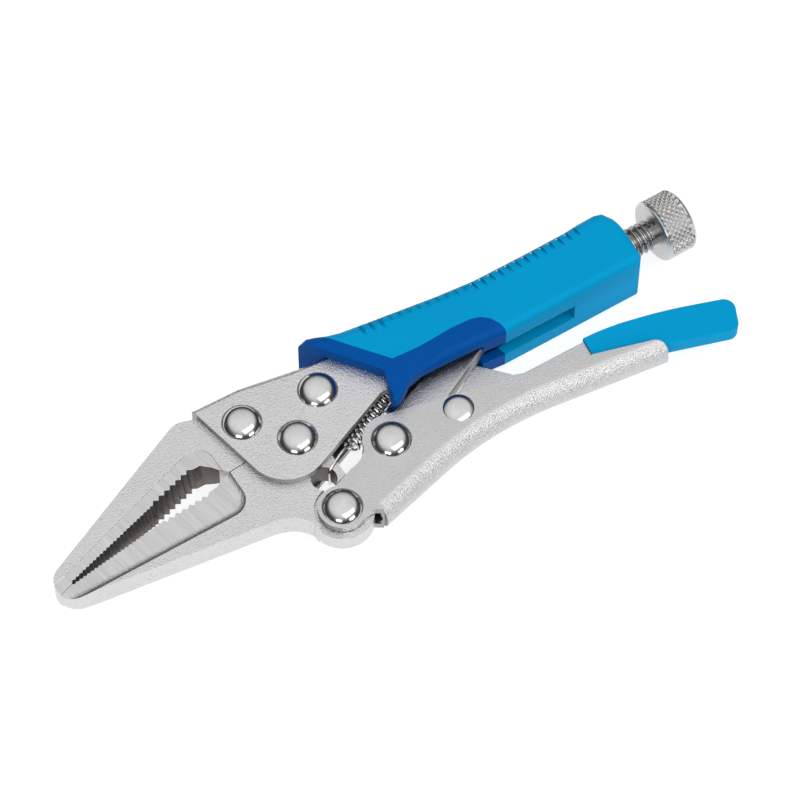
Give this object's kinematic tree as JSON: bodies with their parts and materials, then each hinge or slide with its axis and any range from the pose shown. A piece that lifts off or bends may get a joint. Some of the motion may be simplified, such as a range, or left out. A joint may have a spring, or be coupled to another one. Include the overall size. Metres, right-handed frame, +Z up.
{
  "type": "locking pliers",
  "caption": "Long-nose locking pliers with a toggle linkage, adjusting screw, release lever, return spring and a two-tone grip, jaws shut and locked.",
  "frame": {"origin": "centre of the bounding box in plan, on the underside that the pliers lie on (the grip's flat lower side)", "axes": "+X from the jaw tips to the adjusting knob, +Y from the lower handle to the upper handle, +Z up through the pliers' thickness"},
  "size_m": [0.15, 0.042, 0.014],
  "materials": {
    "bare_steel": "satin nickel plate with a fine grain",
    "jaw_steel": "satin plate, ground flats beside the teeth",
    "rivet_steel": "bright plate",
    "zinc_steel": "plain plated steel",
    "spring_steel": "plain wire",
    "dark_grip": "satin, fine moulded grain",
    "light_grip": "satin, fine moulded grain"
  },
  "bodies": {
    "upper_body": {"upper_handle": "bare_steel", "threaded_insert": "zinc_steel", "fixed_jaw": "jaw_steel", "front_jaw_rivet": "rivet_steel", "rear_jaw_rivet": "rivet_steel", "jaw_pivot_rivet": "rivet_steel", "spring_anchor_pin": "zinc_steel", "grip_collar": "dark_grip", "grip_sleeve": "light_grip", "return_spring": "spring_steel"},
    "jaw_body": {"moving_jaw": "jaw_steel"},
    "handle_body": {"lower_handle": "bare_steel", "handle_pivot_rivet": "rivet_steel", "link_rivet": "rivet_steel", "lever_rivet": "rivet_steel"},
    "link_body": {"toggle_link": "bare_steel"},
    "lever_body": {"release_lever": "bare_steel", "lever_dip": "light_grip"},
    "screw_body": {"adjusting_screw": "zinc_steel"},
    "knob_body": {"screw_knob": "zinc_steel"}
  },
  "joints": [
    {"name": "handle_swing", "type": "hinge", "parent": "jaw_body", "child": "handle_body", "pos_m": [-0.01975, -0.0147, 0.007], "axis": [0, 0, -1], "range_deg": [0, 50]},
    {"name": "jaw_swing", "type": "hinge", "parent": "upper_body", "child": "jaw_body", "pos_m": [-0.01925, 0.0028, 0.007], "axis": [0, 0, 1], "range_deg": [0, 14.4], "deforming": ["return_spring"]},
    {"name": "link_swing", "type": "hinge", "parent": "handle_body", "child": "link_body", "pos_m": [-0.00375, -0.0068, 0.007], "axis": [0, 0, 1], "range_deg": [0, 54.7]},
    {"name": "lever_squeeze", "type": "hinge", "parent": "handle_body", "child": "lever_body", "pos_m": [0.01115, -0.0077, 0.007], "axis": [0, 0, 1], "range_deg": [0, 3]},
    {"name": "screw_travel", "type": "slide", "parent": "upper_body", "child": "screw_body", "axis": [1, 0, 0], "range_m": [0, 0.00636]},
    {"name": "knob_turn", "type": "hinge", "parent": "screw_body", "child": "knob_body", "pos_m": [0.07075, 0.0086, 0.007], "axis": [1, 0, 0], "range_deg": [0, 1800]}
  ],
  "couplings": [
    {"joint": "jaw_swing", "follows": "handle_swing", "ratio": 0.2863},
    {"joint": "link_swing", "follows": "handle_swing", "ratio": 1.0917},
    {"joint": "screw_travel", "follows": "knob_turn", "m_per_rad": 0.00020213}
  ]
}
